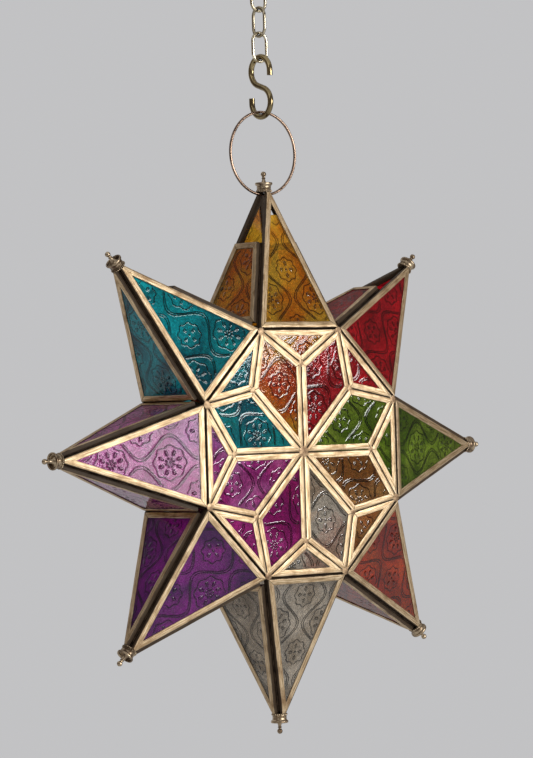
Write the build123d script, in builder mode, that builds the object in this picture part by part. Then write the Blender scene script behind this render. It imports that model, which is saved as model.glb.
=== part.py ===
"""Hanging star lantern of coloured pressed glass in brass came.

Eight hollow four-sided points stand round a flat octagonal body, whose front and back are rosettes
of kites and triangles. Every pane of glass sits in its own frame of channel-shaped came, and the
frames are soldered edge to edge. A wire ring goes through the open vents under the top cap and hangs
from an S-hook and a chain of oval links. One kite of the back is a door on a pin hinge, and a cup for
a tealight stands on a strap at the bottom of the body.

Millimetres. Z is up, the front faces -Y, and the origin is where a ceiling hook carries the chain.
"""

import os
from math import acos, atan, cos, degrees, radians, sin, sqrt, tan

from build123d import *

os.makedirs("parts", exist_ok=True)

# ---------------------------------------------------------------- driving dimensions

# The points, anticlockwise from the right as seen from the front, each with its colour of glass
points = [
    ("right", "green"),
    ("upper_right", "red"),
    ("top", "amber"),
    ("upper_left", "teal"),
    ("left", "magenta"),
    ("lower_left", "violet"),
    ("bottom", "clear"),
    ("lower_right", "orange"),
]

# Body and points, on the inner faces of the panes
corner_radius = 92.0  # centre of the star to each corner of the octagon
rosette_radius = 61.5  # centre to the corners where two kites and a triangle meet
body_depth = 62.8  # between the inner faces of the front and the back
point_reach = 186.4  # centre to where the four faces of a point would meet

# Came and glass
came_depth = 4.0  # outer width of the channel, through the pane
came_flange = 4.3  # how far each lip of the channel covers the glass, with the web
came_sheet = 0.5
glass_thickness = 2.4
glass_clearance = 0.3  # between the edge of the glass and the web
joint_gap = 0.15  # solder line, half of it on each frame
glass_tip_gap = 3.0  # glass of a point ends this far below its cap
top_glass_tip_gap = 16.5  # the front glass of the top point ends lower

# Vents: side panes that stop short of the tip, which leaves the tip open above them
vent_pane_share = 0.6  # length of a short pane, as a share of the full one

# Caps on the points
cap_collar_radius = 5.7
cap_band_radius = 5.1
cap_rim_radius = 6.1
cap_height = 6.8
cap_collar_height = 1.5
cap_rim_height = 1.7
cap_recess = 0.6
cap_stem_radius = 1.0
cap_ball_radius = 1.9
cap_ball_rise = 5.8  # rim to the centre of the ball
cap_trumpet_height = 2.6  # foot of the stem, where the flared end has narrowed to it
cap_bead_radius = 1.5
cap_flare_waist = 0.3  # how far up and out the waist of the flare is, as a share of the flare

# Hanging ring, S-hook and chain
ring_diameter = 60.0  # outside
ring_wire = 2.0
hook_wire = 4.0
hook_bend_radius = 10.2  # centre line of each loop
hook_loop_spacing = 21.7  # between the centres of the two loops
hook_tail = 3.5  # straight end of each loop
link_count = 5
link_length = 22.4  # outside
link_width = 14.4
link_wire = 2.2
hanging_gap = 0.3  # between two wires that hang in each other

# Door in the back, with its hinge and pull
door_gap = 1.4  # between the free edges of the door and their neighbours
door_tip_cut = 13.0  # the tip of the door is cut off, so that it clears the next kite as it swings
hinge_top = 16.0  # below the centre of the star
hinge_length = 30.0
hinge_outer_knuckle = 8.0
hinge_knuckle_gap = 0.3
hinge_knuckle_radius = 1.5
hinge_pin_radius = 0.8
hinge_running_clearance = 0.06
hinge_lift = 0.3  # barrel above the came
hinge_leaf_thickness = 0.6
hinge_leaf_reach = 4.2
hinge_leaf_start = 0.4
pin_head_radius = 1.2
pin_head_height = 0.6
pull_length = 9.0
pull_width = 7.0
pull_thickness = 0.6
pull_knob_radius = 2.2
pull_knob_height = 3.2
pull_neck_radius = 1.3

# Cup for the tealight, on its strap
cup_bore_radius = 19.6
cup_wall = 0.8
cup_height = 10.0
cup_lip_radius = 0.8
strap_width = 16.0
strap_thickness = 1.0
strap_tab_height = 4.0

# ---------------------------------------------------------------- worked-out places

point_count = len(points)
turn = 360 / point_count
half_turn = turn / 2
half_depth = body_depth / 2
half_side = corner_radius * sin(radians(half_turn))
apothem = corner_radius * cos(radians(half_turn))
point_length = point_reach - apothem

side_slope = atan(half_side / point_length)  # side panes to the axis of their point
valley_half_angle = radians(half_turn) + side_slope
valley_setback = came_depth / tan(valley_half_angle) + joint_gap
cap_seat = point_reach - (cap_collar_radius - came_depth / cos(side_slope)) / tan(side_slope)

# Heights above the centre of the star, from the top cap to the top of the chain
ring_radius = (ring_diameter - ring_wire) / 2
ring_inner_radius = ring_radius - ring_wire / 2
ring_height = cap_seat - hanging_gap + sqrt(ring_inner_radius**2 - cap_collar_radius**2)
hook_bottom = ring_height + ring_inner_radius - hanging_gap - hook_wire / 2
hook_centre = hook_bottom + hook_bend_radius + hook_loop_spacing / 2
hook_top = hook_centre + hook_loop_spacing / 2 + hook_bend_radius
lowest_link_bottom = hook_top - hook_wire / 2 - hanging_gap - link_wire / 2
link_pitch = link_length - 2 * link_wire - hanging_gap
lowest_link_centre = lowest_link_bottom + (link_length - link_wire) / 2
top_link_centre = lowest_link_centre + (link_count - 1) * link_pitch
star_height = -(top_link_centre + link_length / 2 - link_wire)

star = Plane(origin=(0, 0, star_height), x_dir=(1, 0, 0), z_dir=(0, -1, 0))


def corner(radius, angle, forward):
    """A corner of the star: distance and angle in its plane, and distance in front of it."""
    flat = Vector(radius * cos(radians(angle)), radius * sin(radians(angle)), forward)
    return star.from_local_coords(flat)


# ---------------------------------------------------------------- panes


class Pane:
    """A flat pane: the plane of its inner face, looking outwards, and its outline in that plane."""

    def __init__(self, corners, setbacks):
        """The corners run anticlockwise from outside; each setback moves the edge after its corner."""
        first, second, third = corners[:3]
        normal = (second - first).cross(third - second)
        self.plane = Plane(origin=first, x_dir=second - first, z_dir=normal)
        flat = [self.plane.to_local_coords(c) for c in corners]
        self.outline = moved_in(flat, setbacks)

    def inset(self, distance):
        return moved_in(self.outline, [distance] * len(self.outline))


def moved_in(outline, distances):
    """The outline with each edge moved inwards by its own distance."""
    edges = []
    for here, there, distance in zip(outline, outline[1:] + outline[:1], distances):
        along = (there - here).normalized()
        edges.append((here + Vector(-along.Y, along.X) * distance, along))
    corners = []
    for (p, u), (q, v) in zip(edges[-1:] + edges[:-1], edges):
        step = ((q.X - p.X) * v.Y - (q.Y - p.Y) * v.X) / (u.X * v.Y - u.Y * v.X)
        corners.append(p + u * step)
    return corners


def draw(outline, mode=Mode.ADD):
    Polygon(*[(c.X, c.Y) for c in outline], align=None, mode=mode)


def add_came(pane):
    """Frame of a pane: a strip folded to a channel that is open inwards, mitred at each corner."""
    with BuildSketch(pane.plane) as band:
        draw(pane.outline)
        draw(pane.inset(came_flange), mode=Mode.SUBTRACT)
    extrude(band.sketch, amount=came_depth)
    with BuildSketch(pane.plane.offset(came_sheet)) as groove:
        draw(pane.inset(came_sheet))
    extrude(groove.sketch, amount=came_depth - 2 * came_sheet, mode=Mode.SUBTRACT)


def add_glass(pane):
    """Glass of a pane, in the middle of the channel."""
    with BuildSketch(pane.plane.offset((came_depth - glass_thickness) / 2)) as sheet:
        draw(pane.inset(came_sheet + glass_clearance))
    extrude(sheet.sketch, amount=glass_thickness)


def shortened(corners, share):
    """A triangle's base and the ends of its two long edges, cut off at a share of its length."""
    first, second, tip = corners
    return [first, second, second + (tip - second) * share, first + (tip - first) * share]


def point_panes(angle):
    """Front, back and two side panes of a point, as lists of corners that start with the base."""
    tip = corner(point_reach, angle, 0)
    after, before = angle + half_turn, angle - half_turn
    front_after, front_before = (corner(corner_radius, a, half_depth) for a in (after, before))
    back_after, back_before = (corner(corner_radius, a, -half_depth) for a in (after, before))
    return {
        "front": [front_after, front_before, tip],
        "back": [back_before, back_after, tip],
        "after": [back_after, front_after, tip],
        "before": [front_before, back_before, tip],
    }


def kite_corners(angle, forward):
    """A kite of the rosette, from the centre to the corner of the octagon at the angle."""
    return [
        corner(0, 0, forward),
        corner(rosette_radius, angle - half_turn, forward),
        corner(corner_radius, angle, forward),
        corner(rosette_radius, angle + half_turn, forward),
    ]


def triangle_corners(angle, forward):
    """A triangle of the rosette, between two kites, with its base on a side of the octagon."""
    return [
        corner(corner_radius, angle - half_turn, forward),
        corner(corner_radius, angle + half_turn, forward),
        corner(rosette_radius, angle, forward),
    ]


def flat_pane(corners):
    return Pane(corners, [joint_gap] * len(corners))


def behind(corners):
    """Corners of a pane of the back, turned round because it is seen from outside."""
    return [corners[0]] + corners[:0:-1]


# ---------------------------------------------------------------- the eight points

# The tips are open where a side pane faces the top: both sides of the top point, and the upper
# sides of the two points next to it. Heat leaves there, and the ring goes through the top one.
vents = {("top", "after"), ("top", "before"), ("upper_left", "before"), ("upper_right", "after")}


def side_pane(corners):
    """A side pane: set back from the valley, where it meets the side pane of the next point."""
    return Pane(corners, [valley_setback] + [joint_gap] * (len(corners) - 1))


def tip_share(gap):
    """Length of a pane that ends a gap below the cap, as a share of the full one."""
    return (cap_seat - gap - apothem) / point_length


for number, (name, colour) in enumerate(points):
    angle = number * turn
    along_point = corner(1, angle, 0) - corner(0, angle, 0)
    came_panes, glass_panes = [], []
    for side, corners in point_panes(angle).items():
        tip_gap = top_glass_tip_gap if (name, side) == ("top", "front") else glass_tip_gap
        glass_corners = shortened(corners, tip_share(tip_gap))
        if (name, side) in vents:
            corners = glass_corners = shortened(corners, vent_pane_share)
        make_pane = side_pane if side in ("after", "before") else flat_pane
        came_panes.append(make_pane(corners))
        glass_panes.append(make_pane(glass_corners))

    with BuildPart() as point_cames:
        for pane in came_panes:
            add_came(pane)
        split(bisect_by=Plane(origin=corner(cap_seat, angle, 0), z_dir=along_point), keep=Keep.BOTTOM)
    point_cames.part.label = f"{name}_point_cames"
    export_step(point_cames.part, f"parts/{name}_point_cames.step")

    with BuildPart() as point_glass:
        for pane in glass_panes:
            add_glass(pane)
    point_glass.part.label = f"{name}_point_glass"
    export_step(point_glass.part, f"parts/{name}_point_glass.step")

# ---------------------------------------------------------------- caps on the points

# Heights above the seat, along the axis of the point
rim_foot = cap_height - cap_rim_height
flare_radius = cap_band_radius - cap_recess
flare_foot = cap_height - cap_recess
stem_foot = cap_height + cap_trumpet_height
ball_centre = cap_height + cap_ball_rise
ball_foot = ball_centre - sqrt(cap_ball_radius**2 - cap_stem_radius**2)
bead_middle = (stem_foot + ball_foot) / 2
bead_half = cap_bead_radius - cap_stem_radius
waist_radius = cap_stem_radius + (flare_radius - cap_stem_radius) * cap_flare_waist
waist_height = flare_foot + (stem_foot - flare_foot) * cap_flare_waist

for number, (name, colour) in enumerate(points):
    angle = number * turn
    seat = corner(cap_seat, angle, 0)
    along_point = corner(1, angle, 0) - corner(0, angle, 0)
    across_point = along_point.rotate(Axis.Y, -90)

    # Spun cap: beaded collar, band, wider rim, then a recessed flare that rises to a ball on a stem
    with BuildPart() as finial:
        with BuildSketch(Plane(origin=seat, x_dir=across_point, z_dir=(0, 1, 0))):
            with BuildLine():
                Polyline(
                    (0, 0),
                    (cap_band_radius, 0),
                    (cap_collar_radius, cap_collar_height / 2),
                    (cap_band_radius, cap_collar_height),
                    (cap_band_radius, rim_foot),
                    (cap_rim_radius, rim_foot + cap_rim_height / 2),
                    (cap_rim_radius, cap_height),
                    (cap_band_radius, cap_height),
                    (flare_radius, flare_foot),
                    (waist_radius, waist_height),
                    (cap_stem_radius, stem_foot),
                    (cap_stem_radius, bead_middle - bead_half),
                    (cap_bead_radius, bead_middle),
                    (cap_stem_radius, bead_middle + bead_half),
                    (cap_stem_radius, ball_foot),
                )
                ThreePointArc(
                    (cap_stem_radius, ball_foot),
                    (cap_ball_radius, ball_centre),
                    (0, ball_centre + cap_ball_radius),
                )
                Line((0, ball_centre + cap_ball_radius), (0, 0))
            make_face()
        revolve(axis=Axis(seat, along_point))
    finial.part.label = f"{name}_finial"
    export_step(finial.part, f"parts/{name}_finial.step")

# ---------------------------------------------------------------- front and back rosettes

door_number = next(n for n, (name, colour) in enumerate(points) if name == "bottom")

for face, forward in (("front", half_depth), ("back", -half_depth)):
    kites, triangles = [], []
    for number in range(point_count):
        kite = kite_corners(number * turn + half_turn, forward)
        triangle = triangle_corners(number * turn, forward)
        if face == "back":
            kite, triangle = behind(kite), behind(triangle)
        kites.append(flat_pane(kite))
        triangles.append(flat_pane(triangle))
    is_door = [face == "back" and number == door_number for number in range(point_count)]

    with BuildPart() as kite_cames:
        for kite, door in zip(kites, is_door):
            if not door:
                add_came(kite)
    kite_cames.part.label = f"{face}_kite_cames"
    export_step(kite_cames.part, f"parts/{face}_kite_cames.step")

    with BuildPart() as triangle_cames:
        for triangle in triangles:
            add_came(triangle)
    triangle_cames.part.label = f"{face}_triangle_cames"
    export_step(triangle_cames.part, f"parts/{face}_triangle_cames.step")

    # A triangle has the colour of its point, and so has the kite after it
    for (name, colour), kite, triangle, door in zip(points, kites, triangles, is_door):
        with BuildPart() as glass:
            add_glass(triangle)
            if not door:
                add_glass(kite)
        glass.part.label = f"{face}_{colour}_glass"
        export_step(glass.part, f"parts/{face}_{colour}_glass.step")

# ---------------------------------------------------------------- door in the back

# A kite with a blunt tip, hinged on its upright edge and free along all the others
middle, free_corner, outer_corner, hinge_corner = behind(
    kite_corners(door_number * turn + half_turn, -half_depth)
)
tip_corners = [middle + (c - middle).normalized() * door_tip_cut for c in (hinge_corner, free_corner)]
door_corners = tip_corners + [free_corner, outer_corner, hinge_corner]
door_pane = Pane(door_corners, [door_gap] * (len(door_corners) - 1) + [joint_gap])

with BuildPart() as door_came:
    add_came(door_pane)
door_came.part.label = "door_came"
export_step(door_came.part, "parts/door_came.step")

with BuildPart() as door_glass:
    add_glass(door_pane)
door_glass.part.label = "door_glass"
export_step(door_glass.part, "parts/door_glass.step")

# Pin hinge on the upright edge of the door, on the outer lips of the two frames
came_face = half_depth + came_depth
hinge_axis_depth = came_face + hinge_lift + hinge_knuckle_radius
hinge_high = star_height - hinge_top
hinge_low = hinge_high - hinge_length
middle_low = hinge_low + hinge_outer_knuckle + hinge_knuckle_gap
middle_length = hinge_length - 2 * (hinge_outer_knuckle + hinge_knuckle_gap)
leaf_clear = hinge_knuckle_radius + hinge_knuckle_gap


def add_knuckle(low, length, bore, side):
    """One rolled knuckle with the root of its leaf, on the door's side (1) or the frame's (-1)."""
    with BuildSketch(Plane.XY.offset(low)) as knuckle:
        with Locations((0, hinge_axis_depth)):
            Circle(hinge_knuckle_radius)
        leaf_middle = side * (hinge_leaf_start + leaf_clear) / 2
        with Locations((leaf_middle, came_face + hinge_leaf_thickness / 2)):
            Rectangle(leaf_clear - hinge_leaf_start, hinge_leaf_thickness)
        with Locations((0, hinge_axis_depth)):
            Circle(bore, mode=Mode.SUBTRACT)
    extrude(knuckle.sketch, amount=length)


def add_leaf(side):
    """The flat leaf beside the knuckles, on the outer lip of its frame."""
    with BuildSketch(Plane.XY.offset(hinge_low)) as leaf:
        leaf_middle = side * (leaf_clear + hinge_leaf_reach) / 2
        with Locations((leaf_middle, came_face + hinge_leaf_thickness / 2)):
            Rectangle(hinge_leaf_reach - leaf_clear, hinge_leaf_thickness)
    extrude(leaf.sketch, amount=hinge_length)


with BuildPart() as frame_hinge_leaf:
    add_leaf(-1)
    add_knuckle(hinge_low, hinge_outer_knuckle, hinge_pin_radius, -1)
    add_knuckle(hinge_high - hinge_outer_knuckle, hinge_outer_knuckle, hinge_pin_radius, -1)
frame_hinge_leaf.part.label = "frame_hinge_leaf"
export_step(frame_hinge_leaf.part, "parts/frame_hinge_leaf.step")

with BuildPart() as door_hinge_leaf:
    add_leaf(1)
    add_knuckle(middle_low, middle_length, hinge_pin_radius + hinge_running_clearance, 1)
door_hinge_leaf.part.label = "door_hinge_leaf"
export_step(door_hinge_leaf.part, "parts/door_hinge_leaf.step")

with BuildPart() as door_hinge_pin:
    with BuildSketch(Plane.XY.offset(hinge_low - pin_head_height)):
        with Locations((0, hinge_axis_depth)):
            Circle(hinge_pin_radius)
    extrude(amount=hinge_length + 2 * pin_head_height)
    for height in (hinge_low - pin_head_height, hinge_high):
        with BuildSketch(Plane.XY.offset(height)):
            with Locations((0, hinge_axis_depth)):
                Circle(pin_head_radius)
        extrude(amount=pin_head_height)
door_hinge_pin.part.label = "door_hinge_pin"
export_step(door_hinge_pin.part, "parts/door_hinge_pin.step")

# Pull: a strip soldered across the free edge of the door, which stops it flush, and its small knob
free_edge_start = corner(corner_radius, door_number * turn + half_turn, -half_depth - came_depth)
free_edge_end = corner(rosette_radius, (door_number + 1) * turn, -half_depth - came_depth)
pull_plane = Plane(
    origin=(free_edge_start + free_edge_end) / 2, x_dir=free_edge_end - free_edge_start, z_dir=(0, 1, 0)
)
with BuildPart() as door_pull:
    with BuildSketch(pull_plane):
        RectangleRounded(pull_width, pull_length, pull_width / 4)
    extrude(amount=pull_thickness)
    with BuildSketch(pull_plane.offset(pull_thickness)):
        Circle(pull_neck_radius)
    extrude(amount=pull_knob_height / 2)
    with BuildSketch(pull_plane.offset(pull_thickness + pull_knob_height / 2)):
        Circle(pull_knob_radius)
    extrude(amount=pull_knob_height / 2)
    fillet(door_pull.faces().sort_by(Axis.Y)[-1].edges(), pull_knob_height / 6)
door_pull.part.label = "door_pull"
export_step(door_pull.part, "parts/door_pull.step")

# ---------------------------------------------------------------- tealight cup and its strap

strap_bottom = star_height - apothem + joint_gap
strap_top = strap_bottom + strap_thickness

with BuildPart() as candle_strap:
    with BuildSketch(Plane.YZ):
        with Locations((0, strap_bottom)):
            Rectangle(body_depth, strap_tab_height, align=(Align.CENTER, Align.MIN))
        with Locations((0, strap_top)):
            inside = body_depth - 2 * strap_thickness
            Rectangle(inside, strap_tab_height, align=(Align.CENTER, Align.MIN), mode=Mode.SUBTRACT)
    extrude(amount=strap_width / 2, both=True)
candle_strap.part.label = "candle_strap"
export_step(candle_strap.part, "parts/candle_strap.step")

with BuildPart() as candle_cup:
    cup_radius = cup_bore_radius + cup_wall
    with BuildSketch(Plane.XY.offset(strap_top)):
        Circle(cup_radius)
    extrude(amount=cup_height)
    with BuildSketch(Plane.XZ):
        with Locations((cup_radius, strap_top + cup_height - cup_lip_radius)):
            Circle(cup_lip_radius)
    revolve(axis=Axis.Z)
    with BuildSketch(Plane.XY.offset(strap_top + cup_wall)):
        Circle(cup_bore_radius)
    extrude(amount=cup_height, mode=Mode.SUBTRACT)
candle_cup.part.label = "candle_cup"
export_step(candle_cup.part, "parts/candle_cup.step")

# ---------------------------------------------------------------- ring, hook and chain

with BuildPart() as hanging_ring:
    with BuildSketch(Plane.XY.offset(star_height + ring_height)):
        with Locations((ring_radius, 0)):
            Circle(ring_wire / 2)
    revolve(axis=Axis(corner(ring_height, 90, 0), (0, 1, 0)))
hanging_ring.part.label = "hanging_ring"
export_step(hanging_ring.part, "parts/hanging_ring.step")

# S-hook, square to the ring: each loop runs past its side, and a short straight joins the two
along_straight = degrees(acos(hook_bend_radius / (hook_loop_spacing / 2)))
loop_arc = 270 - along_straight
loop_height = hook_loop_spacing / 2
hook_plane = Plane(origin=(0, 0, star_height + hook_centre), x_dir=(0, -1, 0), z_dir=(-1, 0, 0))

with BuildPart() as s_hook:
    with BuildLine(hook_plane) as hook_line:
        Line((hook_bend_radius, loop_height - hook_tail), (hook_bend_radius, loop_height))
        upper = CenterArc((0, loop_height), hook_bend_radius, 0, loop_arc)
        lower = CenterArc((0, -loop_height), hook_bend_radius, 90 - along_straight, -loop_arc)
        Line(upper @ 1, lower @ 0)
        Line((-hook_bend_radius, -loop_height), (-hook_bend_radius, hook_tail - loop_height))
    with BuildSketch(Plane(origin=hook_line.line @ 0, z_dir=hook_line.line % 0)):
        Circle(hook_wire / 2)
    sweep(path=hook_line.line)
s_hook.part.label = "s_hook"
export_step(s_hook.part, "parts/s_hook.step")

# Chain: oval links, each square to the next, the lowest one in the plane of the star
end_radius = (link_width - link_wire) / 2
straight_half = (link_length - link_wire) / 2 - end_radius

for link in range(link_count):
    above_lowest = link_count - 1 - link
    height = star_height + lowest_link_centre + above_lowest * link_pitch
    facing = Plane.XZ if above_lowest % 2 == 0 else Plane.YZ
    link_plane = Plane(origin=(0, 0, height), x_dir=facing.x_dir, z_dir=facing.z_dir)
    with BuildPart() as chain_link:
        with BuildLine(link_plane) as link_line:
            right = Line((end_radius, -straight_half), (end_radius, straight_half))
            CenterArc((0, straight_half), end_radius, 0, 180)
            Line((-end_radius, straight_half), (-end_radius, -straight_half))
            CenterArc((0, -straight_half), end_radius, 180, 180)
        with BuildSketch(Plane(origin=right @ 0, z_dir=right % 0)):
            Circle(link_wire / 2)
        sweep(path=link_line.wires()[0])
    chain_link.part.label = f"chain_link_{link + 1}"
    export_step(chain_link.part, f"parts/chain_link_{link + 1}.step")

print("centre of the star", round(star_height, 3))
print("seat of the caps", round(cap_seat, 3), "from it")
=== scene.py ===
"""Hanging star lantern of coloured pressed glass in brass came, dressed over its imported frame."""

import math

import bmesh
import bpy
from mathutils import Matrix, Vector, noise


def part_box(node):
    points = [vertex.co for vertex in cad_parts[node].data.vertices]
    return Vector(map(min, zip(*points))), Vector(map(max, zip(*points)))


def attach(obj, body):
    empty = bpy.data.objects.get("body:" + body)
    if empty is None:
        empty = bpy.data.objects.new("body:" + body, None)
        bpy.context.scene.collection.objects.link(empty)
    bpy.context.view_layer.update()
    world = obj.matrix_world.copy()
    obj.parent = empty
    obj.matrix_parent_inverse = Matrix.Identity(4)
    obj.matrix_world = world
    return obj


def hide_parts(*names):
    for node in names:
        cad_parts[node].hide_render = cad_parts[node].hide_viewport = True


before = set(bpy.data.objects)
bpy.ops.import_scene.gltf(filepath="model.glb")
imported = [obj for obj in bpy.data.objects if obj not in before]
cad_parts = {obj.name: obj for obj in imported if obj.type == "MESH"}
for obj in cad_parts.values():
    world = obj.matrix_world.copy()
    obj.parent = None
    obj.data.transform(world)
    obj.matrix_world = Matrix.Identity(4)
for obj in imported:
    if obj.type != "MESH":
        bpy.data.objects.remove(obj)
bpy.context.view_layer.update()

mm = 0.001
scene = bpy.context.scene

# ---------------------------------------------------------------- view of the photograph
# The lantern hangs at eye height. It is seen from its left front through a long lens, with the
# camera held almost level.
front_turned = math.radians(39.36)  # front of the star, away from the lens
lens_raised = math.radians(-0.50)
lens_rolled = math.radians(1.70)
star_from_lens = Vector((3.6, -51.4, -2313.5)) * mm
lens_length, lens_sensor = 157.1, 36  # in millimetres, the unit of lenses

star_low, star_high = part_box("front_kite_cames")
star_centre = Vector((0, 0, (star_low.z + star_high.z) / 2))

upright = Matrix.Rotation(math.radians(-90), 4, "X")
turned_away = Matrix.Rotation(front_turned, 4, "Y")
raised = Matrix.Rotation(lens_raised, 4, "X")
rolled = Matrix.Rotation(lens_rolled, 4, "Z")
seen = Matrix.Translation(star_from_lens) @ rolled @ raised @ turned_away @ upright

lens = bpy.data.cameras.new("photo_lens")
lens.sensor_width = lens_sensor
lens.lens = lens_length
lens.clip_end = 100
camera = bpy.data.objects.new("photo_lens", lens)
camera.matrix_world = (seen @ Matrix.Translation(-star_centre)).inverted()
scene.collection.objects.link(camera)
scene.camera = camera

# ---------------------------------------------------------------- shape of the star
# Eight four-sided points stand round a flat octagonal body, whose front and back are rosettes of
# kites and triangles. These are the corners where the frames of the panes meet.
point_colours = {
    "right": "green",
    "upper_right": "red",
    "top": "amber",
    "upper_left": "teal",
    "left": "magenta",
    "lower_left": "violet",
    "bottom": "clear",
    "lower_right": "orange",
}
turn = 45
half_turn = turn / 2
corner_radius = 92.0 * mm
rosette_radius = 61.5 * mm
half_depth = 31.4 * mm  # centre of the body to the inner faces of its panes
point_reach = 186.4 * mm

half_side = corner_radius * math.sin(math.radians(half_turn))
apothem = corner_radius * math.cos(math.radians(half_turn))
point_length = point_reach - apothem


def star_corner(radius, angle, forward):
    """A corner of the star: its distance and angle in the plane of the star, and how far in front."""
    flat = Vector((math.cos(math.radians(angle)), 0, math.sin(math.radians(angle))))
    return star_centre + flat * radius - Vector((0, forward, 0))


def round_pairs(corners):
    """Each corner with the next one, round to the first again."""
    return list(zip(corners, corners[1:] + corners[:1]))


def moved_in(outline, distances):
    """The outline with each edge moved inwards by its own distance."""
    edges = []
    for (here, there), distance in zip(round_pairs(outline), distances):
        along = (there - here).normalized()
        edges.append((here + Vector((-along.y, along.x)) * distance, along))
    corners = []
    for (p, u), (q, v) in zip(edges[-1:] + edges[:-1], edges):
        step = (q - p).cross(v) / u.cross(v)
        corners.append(p + u * step)
    return corners


class Pane:
    """A pane: the place of its inner face, with Z outwards, and its outline there."""

    def __init__(self, corners, setbacks):
        along = (corners[1] - corners[0]).normalized()
        outwards = along.cross(corners[2] - corners[1]).normalized()
        turned = Matrix((along, outwards.cross(along), outwards)).transposed()
        self.place = Matrix.Translation(corners[0]) @ turned.to_4x4()
        flat = [(self.place.inverted() @ c).to_2d() for c in corners]
        self.outline = moved_in(flat, setbacks)

    def inset(self, distance):
        """The outline, moved inwards all round."""
        return moved_in(self.outline, [distance] * len(self.outline))

    def middle(self):
        """The mean of the corners of the outline."""
        return (sum(self.outline, Vector((0, 0))) / len(self.outline)).to_3d()


# ---------------------------------------------------------------- came frames
# Each pane sits in a frame of brass sheet folded to a channel. The strips are mitred and soldered
# at the corners, so a fine dark line stays at every mitre and between neighbouring frames.
came_depth = 4.0 * mm
came_flange = 4.3 * mm
came_sheet = 0.5 * mm
came_fold = 0.6 * mm  # outer radius of the two folds
fold_steps = 3
came_hem = 0.25 * mm  # how far the free edge of a lip is turned down
came_crown = 0.12 * mm  # how far the middle of a lip stands out
mitre_gap = 0.08 * mm
joint_gap = 0.15 * mm
hand_wander = 0.09 * mm  # how far a strip wanders from straight
came_height = came_depth - 0.1 * mm  # of the strips as shown, so that they wander inside the solids
wander_step = 7 * mm
wander_scale = 55  # how quickly the wander changes along a strip
streak_offset = 7.3  # from strip to strip, so that no two show the same streaks
noise.seed_set(1)  # so that the strips wander alike each time
# Painted shade, with some grime, darkens the edges of the lips, the folds and the mitres of the cames
shade_and_grime_wobble = 1.1 * mm
edge_shade_and_grime = (0.55 * mm, 1.05 * mm)  # past the flat of the lip, to where it starts and where it is full
mitre_shade_and_grime = (1.0 * mm, 0.45 * mm)  # the same, from the mitre

valley_half_angle = math.radians(half_turn) + math.atan(half_side / point_length)
valley_setback = came_depth / math.tan(valley_half_angle) + joint_gap
vent_pane_share = 0.6
vents = {("top", "after"), ("top", "before"), ("upper_left", "before"), ("upper_right", "after")}

came_section = [
    (came_flange, came_crown + came_hem),
    (came_flange - came_hem, came_crown),
    (came_flange / 2, 0),
]
for step in range(fold_steps + 1):
    fold = math.radians(90 * step / fold_steps)
    inwards, height = came_fold * (1 - math.sin(fold)), came_fold * (1 - math.cos(fold))
    came_section.append((inwards, came_crown + height))
came_section += [(inwards, came_height - height) for inwards, height in reversed(came_section)]
came_section += [
    (came_flange, came_height - came_sheet),
    (came_sheet, came_height - came_sheet),
    (came_sheet, came_sheet),
    (came_flange, came_sheet),
]
lip_fold, lip_edge = 10, 12  # points of the section where the flat of the outer lip starts and ends


def strip_runs():
    """Distance round the came section to each of its points."""
    runs = [0.0]
    for here, there in zip(came_section, came_section[1:]):
        runs.append(runs[-1] + (Vector(there) - Vector(here)).length)
    return runs


def set_up(tree, node, inputs):
    """The node with each input given its value or its link."""
    for name, value in inputs.items():
        if isinstance(value, bpy.types.NodeSocket):
            tree.links.new(value, node.inputs[name])
        else:
            node.inputs[name].default_value = value
    return node


def add_node(tree, kind, inputs=None, **settings):
    """A new node of the tree, with its settings first, then its inputs."""
    made = tree.nodes.new(kind)
    for name, value in settings.items():
        setattr(made, name, value)
    return set_up(tree, made, inputs or {})


def calculated(tree, operation, first, second):
    """What an operation makes of two values or links."""
    return add_node(tree, "ShaderNodeMath", {0: first, 1: second}, operation=operation).outputs[0]


def ranged(tree, value, start=0, end=1, low=0, high=1, kind="LINEAR"):
    """The value, brought from between start and end to between low and high."""
    limits = {"Value": value, "From Min": start, "From Max": end, "To Min": low, "To Max": high}
    return add_node(tree, "ShaderNodeMapRange", limits, interpolation_type=kind).outputs["Result"]


def ramped(tree, value, first, *others):
    """The colour of the value on a ramp, whose stops are positions with their colours."""
    ramp = add_node(tree, "ShaderNodeValToRGB", {"Fac": value})
    elements = ramp.color_ramp.elements
    for element, (position, colour) in zip(elements, (first, others[-1])):
        element.position, element.color = position, (*colour, 1)
    for position, colour in others[:-1]:
        elements.new(position).color = (*colour, 1)
    return ramp.outputs["Color"]


def mixed(tree, factor, first, second, blend="MIX"):
    """The first colour, mixed or blended with the second."""
    colours = {"Factor": factor, "A": first, "B": second}
    return add_node(tree, "ShaderNodeMix", colours, data_type="RGBA", blend_type=blend).outputs["Result"]


def bumped(tree, height, strength, distance):
    """The normal of a surface that the height makes uneven."""
    bump = {"Height": height, "Strength": strength, "Distance": distance}
    return add_node(tree, "ShaderNodeBump", bump).outputs["Normal"]


def new_material(name):
    """A new material, with its tree and its shader."""
    material = bpy.data.materials.new(name)
    material.use_nodes = True
    return material, material.node_tree, material.node_tree.nodes["Principled BSDF"]


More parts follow.
